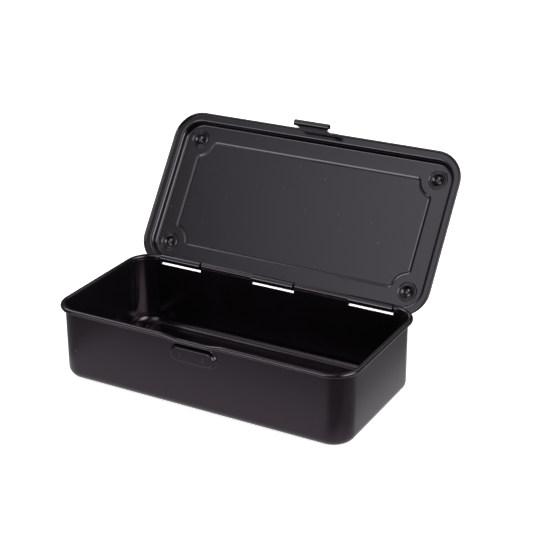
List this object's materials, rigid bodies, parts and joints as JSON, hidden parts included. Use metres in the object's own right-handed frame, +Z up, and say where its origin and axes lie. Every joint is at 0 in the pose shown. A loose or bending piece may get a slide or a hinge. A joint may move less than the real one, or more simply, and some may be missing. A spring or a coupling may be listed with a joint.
{
  "type": "hinged metal storage box",
  "caption": "Small black pressed-steel box with a curled rim, a hinged lid shown open, a snap latch tongue and four stacking domes.",
  "frame": {"origin": "centre of the flat underside of the body", "axes": "+X along the length, to the right when facing the latch; -Y towards the latch side; +Z up; the lid hinges at the +Y side"},
  "size_m": [0.203, 0.1594, 0.1366],
  "materials": {
    "body_paint": "satin black baked enamel",
    "lid_paint": "satin black baked enamel"
  },
  "bodies": {
    "box": {"body_pan": "body_paint"},
    "lid": {"lid_pan": "lid_paint", "hinge_tab_left": "lid_paint", "hinge_tab_centre": "lid_paint", "hinge_tab_right": "lid_paint"},
    "tongue": {"latch_tongue": "lid_paint"}
  },
  "joints": [
    {"name": "lid_hinge", "type": "hinge", "parent": "box", "child": "lid", "pos_m": [0, 0.0484, 0.0464], "axis": [1, 0, 0], "range_deg": [0, 125.5]},
    {"name": "tongue_flex", "type": "hinge", "parent": "lid", "child": "tongue", "pos_m": [0, 0.10622, 0.12762], "axis": [-1, 0, 0], "range_deg": [0, 6], "stiffness_Nm_per_rad": 3}
  ]
}
